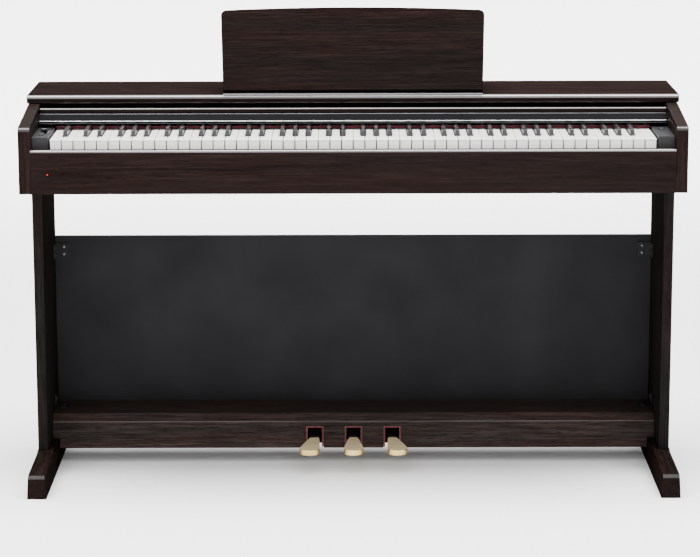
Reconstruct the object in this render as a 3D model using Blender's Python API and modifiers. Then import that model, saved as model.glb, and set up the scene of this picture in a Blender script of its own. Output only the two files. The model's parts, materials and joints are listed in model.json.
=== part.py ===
"""Digital piano on a stand: wooden cabinet, keyboard, sliding key cover, music rest and pedal unit.

Metres, +Z up. X runs along the keyboard (bass at -X), the player sits at -Y.
The origin is on the floor, at the middle of the width and of the depth.
"""

from math import cos, radians, sin, tan

import bmesh
import bpy
from mathutils import Matrix, Vector

# Overall size
WIDTH = 1.357
DEPTH = 0.422
HEIGHT = 0.815  # to the top board; the raised music rest stands above it
FRONT = -DEPTH / 2
BACK = DEPTH / 2
GAP = 0.0003  # clearance between pieces that touch

# Cabinet
CHEEK_OUT = 0.675
CHEEK_IN = 0.651
CABINET_BASE = 0.640
TOP_THICK = 0.018
TOP_SETBACK = 0.197
CHEEK_CORNER_Z = 0.776
SLIP_TOP = 0.730
SLIP_THICK = 0.018
KEYBED_LOW = 0.646
KEYBED_HIGH = 0.661
REAR_THICK = 0.015
INNER_X = CHEEK_IN - GAP
LAMP_X = -0.617
LAMP_Z = 0.680
LAMP_RADIUS = 0.0016

# Keyboard, distances measured back from the front of the cabinet
WHITE_KEYS = 52
KEY_PITCH = 1.228 / WHITE_KEYS
KEY_GAP = 0.001
KEY_FRONT = 0.028
BLACK_FRONT = 0.070
BLACK_BACK = 0.168
KEY_BACK = 0.378
KEY_HINGE = 0.384
KEY_HINGE_Z = 0.738
WHITE_TOP = 0.747
WHITE_BOTTOM = 0.725
BLACK_TOP = 0.7585
BLACK_BOTTOM = 0.728
BLACK_WIDTH = 0.0095
TAIL_GAP = 0.0012
COMB_BAR = 0.008  # depth of the bar that joins a group of white keys
BLOCK_IN = 0.6173
BLOCK_TOP = 0.752
BLOCK_BACK = 0.1735

# Speakers, headphone sockets and controls
SPEAKER_X = 0.480
SPEAKER_BACK = 0.215
SPEAKER_HOLE = 0.056
GRILLE_RADIUS = 0.066
PHONES_X = -0.570
PHONES_FRONT = 0.125
PHONES_LOW = 0.618
SOCKET_SPACING = 0.030
SOCKET_Z = 0.632
SLIDER_X = -0.634
SLIDER_FRONT = 0.095
SLIDER_TRAVEL = 0.030

# Sliding key cover
COVER_TILT = radians(3.2)
COVER_THICK = 0.0045
COVER_SETBACK = 0.196
COVER_BACK = 0.385
COVER_Z = 0.7795
COVER_TRAVEL = 0.180
GROOVE_DEEP = 0.005

# Music rest
REST_LEAN = radians(35)
REST_LENGTH = 0.1925
REST_ARCH = 0.0065
REST_CORNER = 0.012
REST_LEDGE = 0.0035  # how far the ledge stands out from the rest
REST_THICK = 0.012
REST_LOW_HALF = 0.270
REST_HIGH_HALF = 0.2775
REST_HINGE = 0.2075
REST_HINGE_Z = 0.824
REST_START = -0.0045  # the rest's lower edge, measured up the rest from its hinge
STAY_PIVOT = 0.090
STAY_LENGTH = 0.090
STAY_X = 0.170
STAY_THICK = 0.005
STAY_DEEP = 0.004  # the stay's axis, behind the rest's middle plane

# Stand
SIDE_IN = 0.6505
SIDE_OUT = 0.6715
SIDE_SETBACK = 0.184
FOOT_MIDDLE = 0.656
FOOT_HIGH = 0.056
PANEL_LOW = 0.060
PANEL_HIGH = 0.478
PANEL_SETBACK = 0.403
PANEL_THICK = 0.015

# Pedal unit
PEDAL_BOX_FRONT = 0.275
PEDAL_BOX_LOW = 0.035
PEDAL_BOX_HIGH = 0.110
PEDAL_FLOOR_FRONT = 0.315
PEDAL_FLOOR_THICK = 0.005
PEDAL_SPACING = 0.084
PEDAL_SLOT = 0.038
PEDAL_SLOT_HIGH = 0.083
FELT_THICK = 0.003
PEDAL_TIP = 0.177
PEDAL_HINGE = 0.376
PEDAL_HINGE_Z = 0.056
PEDAL_LOW = 0.0505
PEDAL_HIGH = 0.0615
PEDAL_NECK = 0.262  # where the head begins
PEDAL_DIP = 0.006  # how far the tip lies below the neck

# Which white keys of an octave counted from A have a black key after them, and how far it sits off the seam
BLACK_AFTER = {0: 0.003, 2: -0.0023, 3: 0.0023, 5: -0.003, 6: 0.0}
FIRST_MIDDLE = 23
FIRST_TREBLE = 30

for old in list(bpy.data.objects):
    bpy.data.objects.remove(old)

PIANO = bpy.data.collections.new("digital_piano")
CUTTERS = bpy.data.collections.new("cutters")
bpy.context.scene.collection.children.link(PIANO)
bpy.context.scene.collection.children.link(CUTTERS)


def material(name, colour, roughness, metallic=0.0):
    made = bpy.data.materials.new(name)
    made.use_nodes = True
    shader = made.node_tree.nodes["Principled BSDF"]
    shader.inputs["Base Color"].default_value = (*colour, 1)
    shader.inputs["Roughness"].default_value = roughness
    shader.inputs["Metallic"].default_value = metallic
    return made


ROSEWOOD = material("rosewood", (0.035, 0.016, 0.013), 0.35)
CHARCOAL = material("charcoal_panel", (0.012, 0.013, 0.016), 0.6)
CHIPBOARD = material("chipboard", (0.05, 0.035, 0.03), 0.8)
BLACK_PLASTIC = material("black_plastic", (0.012, 0.012, 0.013), 0.35)
GREY_PLASTIC = material("grey_plastic", (0.03, 0.03, 0.033), 0.45)
WHITE_KEY = material("white_key", (0.85, 0.85, 0.83), 0.2)
BLACK_KEY = material("black_key", (0.01, 0.01, 0.01), 0.35)
RED_FELT = material("red_felt", (0.30, 0.01, 0.015), 0.95)
BRASS = material("brass", (0.70, 0.55, 0.30), 0.25, 1.0)
STEEL = material("dark_steel", (0.03, 0.03, 0.03), 0.45, 1.0)
BOARD_GREEN = material("circuit_board", (0.02, 0.12, 0.05), 0.5)
RED_LAMP = material("red_lamp", (0.6, 0.02, 0.02), 0.3)


def behind(distance):
    """Y of a plane this far behind the front of the cabinet."""
    return FRONT + distance


def placed(mesh, name, look, collection=PIANO, at=(0, 0, 0)):
    """A new object whose mesh holds world positions, with its origin moved to a point."""
    mesh.transform(Matrix.Translation(-Vector(at)))
    mesh.materials.append(look)
    made = bpy.data.objects.new(name, mesh)
    made.location = at
    collection.objects.link(made)
    return made


def box(name, low, high, look, at=(0, 0, 0), bevel=0.0, collection=PIANO):
    """A box between two corners, with its edges rounded where a bevel is given."""
    low, high = Vector(low), Vector(high)
    shape = bmesh.new()
    size = Matrix.Diagonal((*(high - low), 1))
    bmesh.ops.create_cube(shape, size=1, matrix=Matrix.Translation((low + high) / 2) @ size)
    mesh = bpy.data.meshes.new(name)
    shape.to_mesh(mesh)
    shape.free()
    made = placed(mesh, name, look, collection, at)
    if bevel:
        rounding = made.modifiers.new("rounding", "BEVEL")
        rounding.width = bevel
        rounding.segments = 2
    return made


def cylinder(name, centre, radius, length, axis, look, sides=20, at=(0, 0, 0), collection=PIANO):
    shape = bmesh.new()
    turn = Vector((0, 0, 1)).rotation_difference(Vector(axis)).to_matrix().to_4x4()
    place = Matrix.Translation(centre) @ turn
    bmesh.ops.create_cone(shape, cap_ends=True, segments=sides, radius1=radius, radius2=radius,
                          depth=length, matrix=place)
    mesh = bpy.data.meshes.new(name)
    shape.to_mesh(mesh)
    shape.free()
    made = placed(mesh, name, look, collection, at)
    mesh.shade_smooth()
    mesh.set_sharp_from_angle(angle=radians(40))
    return made


def outline(name, points, plane, low, high, look, at=(0, 0, 0), collection=PIANO):
    """A flat outline in the XY, YZ or XZ plane, given thickness from low to high across it."""
    curve = bpy.data.curves.new(name, "CURVE")
    curve.dimensions = "2D"
    curve.fill_mode = "BOTH"
    curve.extrude = (high - low) / 2
    spline = curve.splines.new("POLY")
    spline.points.add(len(points) - 1)
    for point, (first, second) in zip(spline.points, points):
        point.co = (first, second, 0, 1)
    spline.use_cyclic_u = True
    flat = bpy.data.objects.new(name + "_outline", curve)
    collection.objects.link(flat)
    middle = (low + high) / 2
    if plane == "XY":
        flat.matrix_world = Matrix.Translation((0, 0, middle))
    elif plane == "YZ":
        flat.matrix_world = Matrix(((0, 0, 1, middle), (1, 0, 0, 0), (0, 1, 0, 0), (0, 0, 0, 1)))
    else:
        flat.matrix_world = Matrix(((1, 0, 0, 0), (0, 0, -1, middle), (0, 1, 0, 0), (0, 0, 0, 1)))
    bpy.context.view_layer.update()
    graph = bpy.context.evaluated_depsgraph_get()
    mesh = bpy.data.meshes.new_from_object(flat.evaluated_get(graph))
    mesh.transform(flat.matrix_world)
    bpy.data.objects.remove(flat)
    shape = bmesh.new()
    shape.from_mesh(mesh)
    bmesh.ops.remove_doubles(shape, verts=shape.verts, dist=0.00001)
    bmesh.ops.recalc_face_normals(shape, faces=shape.faces)
    shape.to_mesh(mesh)
    shape.free()
    mesh.name = name
    mesh.materials.clear()
    return placed(mesh, name, look, collection, at)


def helper(made):
    """Keeps a cutter, or a shape used in a Boolean, out of the model."""
    for collection in made.users_collection:
        collection.objects.unlink(made)
    CUTTERS.objects.link(made)
    made.hide_render = True
    made.display_type = "WIRE"
    return made


def boolean(target, other, operation="DIFFERENCE"):
    change = target.modifiers.new(operation.lower(), "BOOLEAN")
    change.operation = operation
    change.solver = "EXACT"
    change.object = helper(other)


def joined(objects, name):
    """Several shapes as one mesh object, still separate bodies until a union."""
    shape = bmesh.new()
    for piece in objects:
        mesh = piece.data.copy()
        mesh.transform(Matrix.Translation(piece.location))
        shape.from_mesh(mesh)
    mesh = bpy.data.meshes.new(name)
    shape.to_mesh(mesh)
    shape.free()
    look = objects[0].data.materials[0]
    for piece in objects:
        bpy.data.objects.remove(piece)
    return placed(mesh, name, look)


def arc(centre, radius, start, end, steps=4):
    """Points on a circle, from one angle in degrees to another."""
    turns = [radians(start + (end - start) * i / steps) for i in range(steps + 1)]
    return [(centre[0] + radius * cos(t), centre[1] + radius * sin(t)) for t in turns]


def both_sides(make):
    """Calls make(name suffix, sign of X) for the left and the right side."""
    for suffix, side in (("left", -1), ("right", 1)):
        make(suffix, side)


def span(side, near, far):
    """The low and high X of a piece between two distances from the middle, on one side."""
    return min(side * near, side * far), max(side * near, side * far)


# Cabinet


def cover_line(distance):
    """Height of the cover's underside, on the line that it slides along."""
    return COVER_Z + (distance - COVER_SETBACK) * tan(COVER_TILT)


def make_cheek(suffix, side):
    radius = 0.010
    top = HEIGHT - TOP_THICK - GAP
    rounded = arc((behind(radius), CHEEK_CORNER_Z - radius), radius, 180, 96)
    points = [
        (FRONT, CABINET_BASE),
        *rounded,
        (behind(TOP_SETBACK - 0.005), top),
        (BACK, top),
        (BACK, CABINET_BASE),
    ]
    low, high = span(side, CHEEK_IN, CHEEK_OUT)
    cheek = outline("cheek_" + suffix, points, "YZ", low, high, ROSEWOOD)
    room = 0.0006
    start, end = COVER_SETBACK - COVER_TRAVEL - 0.002, COVER_BACK + 0.002
    groove = [
        (behind(start), cover_line(start) - room),
        (behind(end), cover_line(end) - room),
        (behind(end), cover_line(end) + COVER_THICK + room),
        (behind(start), cover_line(start) + COVER_THICK + room),
    ]
    low, high = span(side, CHEEK_IN - 0.01, CHEEK_IN + GROOVE_DEEP)
    boolean(cheek, outline("cover_groove_" + suffix, groove, "YZ", low, high, ROSEWOOD))


def make_cabinet():
    both_sides(make_cheek)
    box("top_board", (-WIDTH / 2, behind(TOP_SETBACK), HEIGHT - TOP_THICK), (WIDTH / 2, BACK, HEIGHT),
        ROSEWOOD, bevel=0.004)
    radius = 0.006
    slip = [
        (FRONT, CABINET_BASE),
        *arc((behind(radius), SLIP_TOP - radius), radius, 180, 90, 3),
        *arc((behind(SLIP_THICK - radius), SLIP_TOP - radius), radius, 90, 0, 3),
        (behind(SLIP_THICK), CABINET_BASE),
    ]
    key_slip = outline("key_slip", slip, "YZ", -INNER_X, INNER_X, ROSEWOOD)
    boolean(key_slip, cylinder("lamp_hole", (LAMP_X, FRONT, LAMP_Z), LAMP_RADIUS + 0.0004, 0.08, (0, 1, 0),
                               ROSEWOOD))
    cylinder("power_lamp", (LAMP_X, behind(0.0083), LAMP_Z), LAMP_RADIUS, 0.016, (0, 1, 0), RED_LAMP, sides=16)
    rear_face = behind(DEPTH - REAR_THICK)
    box("rear_board", (-INNER_X, rear_face, KEYBED_LOW), (INNER_X, BACK, HEIGHT - TOP_THICK - GAP), CHIPBOARD)
    keybed = box("keybed", (-INNER_X, behind(SLIP_THICK) + GAP, KEYBED_LOW),
                 (INNER_X, rear_face - GAP, KEYBED_HIGH), CHIPBOARD)
    for suffix, side in (("left", -1), ("right", 1)):
        hole = cylinder("speaker_hole_" + suffix, (side * SPEAKER_X, behind(SPEAKER_BACK), KEYBED_LOW),
                        SPEAKER_HOLE, 0.1, (0, 0, 1), CHIPBOARD, sides=32)
        boolean(keybed, hole)
    panel = [(behind(d), z) for d, z in (
        (0.158, 0.7605), (0.158, 0.7622), (0.162, 0.7622), (0.162, 0.7642), (0.159, 0.7642),
        (0.159, 0.7665), (0.183, 0.778), (0.202, 0.778), (0.202, 0.7605))]
    outline("inner_panel", panel, "YZ", -INNER_X, INNER_X, GREY_PLASTIC)
    felt_half = 0.616
    box("key_felt", (-felt_half, behind(0.172), 0.7482), (felt_half, behind(0.175), 0.7535), RED_FELT)


def turned(name, profile, place, look, steps=28):
    """A turned piece: a profile of (radius, height) points, top to bottom, spun about Z at a place."""
    mesh = bpy.data.meshes.new(name)
    points = [(r, 0, z) for r, z in profile]
    mesh.from_pydata(points, [(i, i + 1) for i in range(len(points) - 1)], [])
    made = placed(mesh, name, look)
    made.location = place
    screw = made.modifiers.new("turn", "SCREW")
    screw.steps = screw.render_steps = steps
    screw.use_merge_vertices = True
    screw.merge_threshold = 0.0001
    screw.use_smooth_shade = True
    return made


def make_electronics():
    both_sides(make_speaker)
    chassis = [(behind(d), z) for d, z in (
        (0.034, 0.6613), (0.034, 0.708), (0.380, 0.708), (0.380, 0.741), (0.398, 0.741),
        (0.398, 0.6613), (0.392, 0.6613), (0.392, 0.700), (0.040, 0.700), (0.040, 0.6613))]
    outline("key_chassis", chassis, "YZ", -BLOCK_IN + GAP, BLOCK_IN - GAP, BLACK_PLASTIC)
    box("main_circuit_board", (-0.2, behind(0.401), 0.670), (0.2, behind(0.4026), 0.760), BOARD_GREEN)
    half, depth = 0.030, 0.055
    phones = box("headphone_box", (PHONES_X - half, behind(PHONES_FRONT), PHONES_LOW),
                 (PHONES_X + half, behind(PHONES_FRONT + depth), KEYBED_LOW - GAP), BLACK_PLASTIC, bevel=0.002)
    for side in (-1, 1):
        place = (PHONES_X + side * SOCKET_SPACING / 2, behind(PHONES_FRONT), SOCKET_Z)
        boolean(phones, cylinder("socket", place, 0.0034, 0.05, (0, 1, 0), BLACK_PLASTIC))


def make_speaker(suffix, side):
    cone = [(0, 0.045), (0.028, 0.045), (0.028, 0.034), (0.034, 0.030), (0.052, 0.010), (0.060, 0.010),
            (0.060, 0.0075), (0.050, 0.0075), (0.020, 0.026), (0, 0.026)]
    low = KEYBED_HIGH + GAP - 0.0075
    turned("speaker_" + suffix, cone, (side * SPEAKER_X, behind(SPEAKER_BACK), low), BLACK_PLASTIC)
    top = KEYBED_LOW - GAP
    cylinder("speaker_grille_" + suffix, (side * SPEAKER_X, behind(SPEAKER_BACK), top - 0.0015), GRILLE_RADIUS,
             0.003, (0, 0, 1), BLACK_PLASTIC, sides=32)


# End blocks and controls


def pocket(block, low, high):
    boolean(block, box("control_pocket", low, high, GREY_PLASTIC))


def make_end_block(suffix, side):
    low, high = span(side, BLOCK_IN, INNER_X)
    return box("end_block_" + suffix, (low, behind(KEY_FRONT), KEYBED_HIGH + GAP),
               (high, behind(BLOCK_BACK), BLOCK_TOP), GREY_PLASTIC)


def push_button(name, block, x, distance, half_x, half_y, proud):
    """A button in its own pocket on top of an end block."""
    room, deep = 0.0005, 0.010
    y = behind(distance)
    pocket(block, (x - half_x - room, y - half_y - room, BLOCK_TOP - deep),
           (x + half_x + room, y + half_y + room, BLOCK_TOP + 0.01))
    box(name, (x - half_x, y - half_y, BLOCK_TOP - deep + 0.003), (x + half_x, y + half_y, BLOCK_TOP + proud),
        BLACK_PLASTIC, at=(x, y, BLOCK_TOP), bevel=0.0008)


def make_controls():
    left = make_end_block("left", -1)
    right = make_end_block("right", 1)
    push_button("power_button", right, 0.634, 0.130, 0.006, 0.009, 0.0025)
    push_button("function_button_1", left, SLIDER_X, 0.060, 0.005, 0.005, 0.002)
    push_button("function_button_2", left, SLIDER_X, 0.078, 0.005, 0.005, 0.002)
    stem, reach, deep = 0.0015, 0.003, 0.008
    start, end = behind(SLIDER_FRONT), behind(SLIDER_FRONT + SLIDER_TRAVEL)
    room = 0.0006
    pocket(left, (SLIDER_X - stem - room, start - reach - room, BLOCK_TOP - deep),
           (SLIDER_X + stem + room, end + reach + room, BLOCK_TOP + 0.01))
    rest = behind(SLIDER_FRONT + 0.5 * SLIDER_TRAVEL)
    knob = box("volume_slider", (SLIDER_X - 0.006, rest - 0.004, BLOCK_TOP + 0.0005),
               (SLIDER_X + 0.006, rest + 0.004, BLOCK_TOP + 0.006), BLACK_PLASTIC, at=(SLIDER_X, rest, BLOCK_TOP))
    shaft = box("slider_stem", (SLIDER_X - stem, rest - reach, BLOCK_TOP - deep + 0.001),
                (SLIDER_X + stem, rest + reach, BLOCK_TOP + 0.003), BLACK_PLASTIC)
    boolean(knob, shaft, "UNION")


# Keyboard


def seam(index):
    """X of the left side of a white key, counted from 0 at the bass end."""
    return (index - WHITE_KEYS / 2) * KEY_PITCH


def black_after(index):
    """X of the black key between this white key and the next, or None."""
    offset = BLACK_AFTER.get(index % 7)
    if offset is None or not 0 <= index < WHITE_KEYS - 1:
        return None
    return seam(index + 1) + offset


def tail_sides(index):
    """Left and right X of a white key's narrow tail, which passes between the black keys."""
    left, right = seam(index) + KEY_GAP / 2, seam(index + 1) - KEY_GAP / 2
    before, after = black_after(index - 1), black_after(index)
    reach = BLACK_WIDTH / 2 + TAIL_GAP
    if before is not None:
        left = before + reach
    if after is not None:
        right = after - reach
    return left, right


def white_outline(first, last):
    """Plan of the white keys first to last - 1: one key, or a comb joined along its back."""
    comb = last - first > 1
    back = behind(KEY_BACK)
    root = back - COMB_BAR if comb else back
    notch = behind(BLACK_FRONT) - TAIL_GAP
    points = []
    for index in range(first, last):
        left, right = tail_sides(index)
        head = (seam(index) + KEY_GAP / 2, seam(index + 1) - KEY_GAP / 2)
        points += [(left, root), (left, notch)] if left > head[0] + 1e-6 else [(head[0], root)]
        if left > head[0] + 1e-6:
            points.append((head[0], notch))
        points += [(head[0], behind(KEY_FRONT)), (head[1], behind(KEY_FRONT))]
        if right < head[1] - 1e-6:
            points += [(head[1], notch), (right, notch)]
        points.append((right, root))
    if comb:
        points += [(tail_sides(last - 1)[1], back), (tail_sides(first)[0], back)]
    return points


def make_white(name, first, last):
    middle = (seam(first) + seam(last)) / 2
    outline(name, white_outline(first, last), "XY", WHITE_BOTTOM, WHITE_TOP, WHITE_KEY,
            at=(middle, behind(KEY_HINGE), KEY_HINGE_Z))


def black_side(back):
    """Side view of a black key: a cap that slopes at its front, on a lever that runs back to the hinge."""
    lever_top = WHITE_TOP - 0.003
    return [(behind(d), z) for d, z in (
        (BLACK_FRONT, BLACK_BOTTOM), (BLACK_FRONT, WHITE_TOP), (BLACK_FRONT + 0.006, BLACK_TOP),
        (BLACK_BACK, BLACK_TOP), (BLACK_BACK, lever_top), (back, lever_top), (back, BLACK_BOTTOM))]


def make_black(name, centres):
    half = BLACK_WIDTH / 2
    back = KEY_BACK if len(centres) == 1 else KEY_BACK - COMB_BAR - 0.004
    keys = [outline(f"{name}_{i}", black_side(back), "YZ", x - half, x + half, BLACK_KEY)
            for i, x in enumerate(centres)]
    comb = joined(keys, name)
    if len(centres) > 1:
        posts = [box(f"{name}_post_{i}", (x - half + 0.001, behind(0.340), WHITE_TOP - 0.010),
                     (x + half - 0.001, behind(0.350), 0.755), BLACK_KEY) for i, x in enumerate(centres)]
        boolean(comb, joined(posts, name + "_posts"), "UNION")
        bar = box(name + "_bar", (centres[0] - half, behind(0.339), 0.751),
                  (centres[-1] + half, behind(0.351), 0.757), BLACK_KEY)
        boolean(comb, bar, "UNION")
    at = Vector(((centres[0] + centres[-1]) / 2, behind(KEY_HINGE), KEY_HINGE_Z))
    comb.data.transform(Matrix.Translation(-at))
    comb.location = at


def make_keyboard():
    make_white("white_keys_bass", 0, FIRST_MIDDLE)
    make_white("white_keys_treble", FIRST_TREBLE, WHITE_KEYS)
    blacks = {i: black_after(i) for i in range(WHITE_KEYS) if black_after(i) is not None}
    make_black("black_keys_bass", [x for i, x in blacks.items() if i < FIRST_MIDDLE])
    make_black("black_keys_treble", [x for i, x in blacks.items() if i >= FIRST_TREBLE])
    for index, letter in zip(range(FIRST_MIDDLE, FIRST_TREBLE), "cdefgab"):
        make_white(f"key_{letter}4", index, index + 1)
        if index in blacks:
            make_black(f"key_{letter}_sharp4", [blacks[index]])


# Key cover


def make_cover():
    sides = CHEEK_IN + GROOVE_DEEP - 0.001
    panel = [
        (behind(COVER_SETBACK), cover_line(COVER_SETBACK)),
        (behind(COVER_BACK), cover_line(COVER_BACK)),
        (behind(COVER_BACK), cover_line(COVER_BACK) + COVER_THICK),
        (behind(COVER_SETBACK), cover_line(COVER_SETBACK) + COVER_THICK),
    ]
    at = (0, behind(COVER_SETBACK), COVER_Z)
    outline("key_cover", panel, "YZ", -sides, sides, ROSEWOOD, at=at)
    rail_front, rail_back = COVER_SETBACK - 0.010, COVER_SETBACK - GAP
    rail = [
        (behind(rail_back), COVER_Z + 0.0003),
        (behind(rail_back), COVER_Z + 0.0095),
        *arc((behind(rail_front + 0.003), COVER_Z + 0.0065), 0.003, 90, 180, 3),
        (behind(rail_front), COVER_Z + 0.0003),
    ]
    outline("cover_rail", rail, "YZ", -CHEEK_IN + 0.001, CHEEK_IN - 0.001, ROSEWOOD, at=at)


# Music rest: laid out flat along +Y from its hinge, then leaned back from upright


def lean(made):
    """Turns a piece that was laid out flat from the rest's hinge up to the leaning position."""
    hinge = Vector((0, behind(REST_HINGE), REST_HINGE_Z))
    turn = Matrix.Rotation(radians(90) - REST_LEAN, 4, "X")
    place = Matrix.Translation(hinge) @ turn @ Matrix.Translation(-hinge)
    made.data.transform(Matrix.Translation(made.location))
    made.data.transform(place)
    made.data.transform(Matrix.Translation(-hinge))
    made.location = hinge


def rest_point(up, deep):
    """World Y and Z of a point this far up the leaning rest and this far behind its middle plane."""
    y = behind(REST_HINGE) + up * sin(REST_LEAN) + deep * cos(REST_LEAN)
    z = REST_HINGE_Z + up * cos(REST_LEAN) - deep * sin(REST_LEAN)
    return y, z


def make_music_rest():
    start = behind(REST_HINGE)
    arch, corner = REST_ARCH, REST_CORNER
    points = [(-REST_LOW_HALF, start + REST_START), (REST_LOW_HALF, start + REST_START)]
    right = REST_HIGH_HALF - corner
    top = start + REST_LENGTH - arch
    points += arc((right, top - corner), corner, 0, 80)
    steps = 12
    for i in range(1, steps):
        share = 1 - 2 * i / steps
        points.append((right * share, top + arch * (1 - share * share)))
    points += arc((-right, top - corner), corner, 100, 180)
    low, high = REST_HINGE_Z - REST_THICK / 2, REST_HINGE_Z + REST_THICK / 2
    board = outline("music_rest", points, "XY", low, high, ROSEWOOD)
    pockets = [box("stay_pocket", (side * STAY_X - 0.015, start + STAY_PIVOT - 0.008, low - 0.01),
                   (side * STAY_X + 0.015, start + STAY_PIVOT + STAY_LENGTH + 0.0015, low + 0.007), ROSEWOOD)
               for side in (-1, 1)]
    for cutter in pockets:
        lean(cutter)
        boolean(board, cutter)
    lean(board)
    ledge = box("rest_ledge", (-REST_LOW_HALF, start + REST_START, high + GAP),
                (REST_LOW_HALF, start + REST_START + 0.002, high + REST_LEDGE), GREY_PLASTIC, bevel=0.0005)
    lean(ledge)
    rail_half, rail_deep = 0.250, 0.014
    box("rest_hinge_rail", (-rail_half, start - rail_deep / 2, HEIGHT + GAP),
        (rail_half, start + rail_deep / 2, HEIGHT + 0.0010), STEEL)
    both_sides(make_stay)


def make_stay(suffix, side):
    """A flat stay hinged in the rest's back, its foot standing on the top board."""
    y, z = rest_point(STAY_PIVOT, STAY_DEEP)
    drop = z - (REST_HINGE_Z - 0.004)
    reach = (STAY_LENGTH ** 2 - drop ** 2) ** 0.5
    ahead = Vector((reach, -drop)) / STAY_LENGTH
    across = Vector((-ahead[1], ahead[0])) * STAY_THICK / 2
    pivot = Vector((y, z))
    foot = pivot + ahead * STAY_LENGTH
    start = pivot - ahead * 0.0025
    points = [tuple(start + across), tuple(start - across), tuple(foot - across), tuple(foot + across)]
    half = 0.012
    outline("stay_" + suffix, points, "YZ", side * STAY_X - half, side * STAY_X + half, STEEL,
            at=(side * STAY_X, y, z))


# Stand


def make_side(suffix, side):
    low, high = span(side, SIDE_IN, SIDE_OUT)
    box("side_board_" + suffix, (low, behind(SIDE_SETBACK), FOOT_HIGH + GAP),
        (high, BACK, CABINET_BASE - GAP), ROSEWOOD, bevel=0.001)
    profile = [(behind(d), z) for d, z in (
        (0.002, 0), (0.002, 0.043), (0.006, 0.049), (0.012, 0.0505), (0.168, 0.0525),
        (0.180, FOOT_HIGH), (DEPTH, FOOT_HIGH), (DEPTH, 0))]
    low_half, high_half = 0.020, 0.017
    middle = side * FOOT_MIDDLE
    foot = outline("foot_" + suffix, profile, "YZ", middle - low_half, middle + low_half, ROSEWOOD)
    for vertex in foot.data.vertices:
        half = low_half - (low_half - high_half) * min(vertex.co.z / 0.0505, 1)
        vertex.co.x = middle + half * (1 if vertex.co.x > middle else -1)
    make_bracket("bracket_upper_" + suffix, side, behind(PANEL_SETBACK) - GAP, PANEL_HIGH - 0.046,
                 PANEL_HIGH - 0.014, False)
    make_bracket("bracket_lower_" + suffix, side, PEDAL_BOX_HIGH + GAP, 0.330, 0.362, True)


def make_bracket(name, side, face, low, high, lying):
    """An L bracket in the corner at the side board: upright against the back panel, or lying on the pedal box."""
    near, reach, thick = SIDE_IN - GAP, 0.030, 0.0025
    sign = 1 if lying else -1
    points = [(side * near, face), (side * (near - reach), face), (side * (near - reach), face + sign * thick),
              (side * (near - thick), face + sign * thick), (side * (near - thick), face + sign * reach),
              (side * near, face + sign * reach)]
    plane = "XZ" if lying else "XY"
    if lying:
        low, high = behind(low), behind(high)
    outline(name, points, plane, low, high, STEEL)


def make_stand():
    both_sides(make_side)
    half = SIDE_IN - GAP
    box("back_panel", (-half, behind(PANEL_SETBACK), PANEL_LOW),
        (half, behind(PANEL_SETBACK + PANEL_THICK), PANEL_HIGH), CHARCOAL)


# Pedal unit


def pedal_centres():
    return (-PEDAL_SPACING, 0, PEDAL_SPACING)


def make_pedal_box():
    front, back = PEDAL_BOX_FRONT, PANEL_SETBACK - GAP
    half = SIDE_IN - GAP
    profile = [(behind(d), z) for d, z in (
        (front, PEDAL_BOX_LOW), (front, PEDAL_BOX_HIGH - 0.016), (front + 0.003, PEDAL_BOX_HIGH - 0.013),
        (front + 0.014, PEDAL_BOX_HIGH),
        (back, PEDAL_BOX_HIGH), (back, PEDAL_BOX_LOW))]
    case = outline("pedal_box", profile, "YZ", -half, half, ROSEWOOD)
    for side in (-1, 1):
        low, high = span(side, FOOT_MIDDLE - 0.0205, FOOT_MIDDLE + 0.05)
        boolean(case, box("foot_notch", (low, behind(front - 0.02), 0), (high, BACK, FOOT_HIGH + 0.0005), ROSEWOOD))
    inside = 0.110
    floor_top = PEDAL_BOX_LOW + PEDAL_FLOOR_THICK
    hollow_top, hollow_back = PEDAL_BOX_HIGH - 0.013, behind(PEDAL_HINGE + 0.010)
    boolean(case, box("pedal_hollow", (-inside, behind(front + 0.016), floor_top),
                      (inside, hollow_back, hollow_top), ROSEWOOD))
    boolean(case, box("pedal_well", (-inside, behind(front + 0.016), 0),
                      (inside, behind(PEDAL_FLOOR_FRONT), floor_top + 0.01), ROSEWOOD))
    felt_half = inside - 0.001
    felt = box("pedal_felt", (-felt_half, behind(front + 0.0163), PEDAL_BOX_LOW + 0.002),
               (felt_half, behind(front + 0.0185), hollow_top - 0.001), RED_FELT)
    slot_half = PEDAL_SLOT / 2
    half = slot_half - GAP
    for x in pedal_centres():
        boolean(case, box("pedal_slot", (x - slot_half, behind(front - 0.02), 0),
                          (x + slot_half, behind(front + 0.03), PEDAL_SLOT_HIGH), ROSEWOOD))
        lining = box("felt_lining", (x - half, behind(front + 0.0005), PEDAL_BOX_LOW + 0.002),
                     (x + half, behind(front + 0.017), PEDAL_SLOT_HIGH - GAP), RED_FELT)
        boolean(felt, lining, "UNION")
    for x in pedal_centres():
        boolean(felt, box("felt_slot", (x - half + FELT_THICK, behind(front - 0.01), 0),
                          (x + half - FELT_THICK, behind(front + 0.03), PEDAL_SLOT_HIGH - GAP - FELT_THICK),
                          ROSEWOOD))
    cylinder("pedal_adjuster", (0, behind(0.3945), (PEDAL_BOX_LOW - GAP) / 2), 0.0075, PEDAL_BOX_LOW - GAP,
             (0, 0, 1), BLACK_PLASTIC, sides=20)


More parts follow.
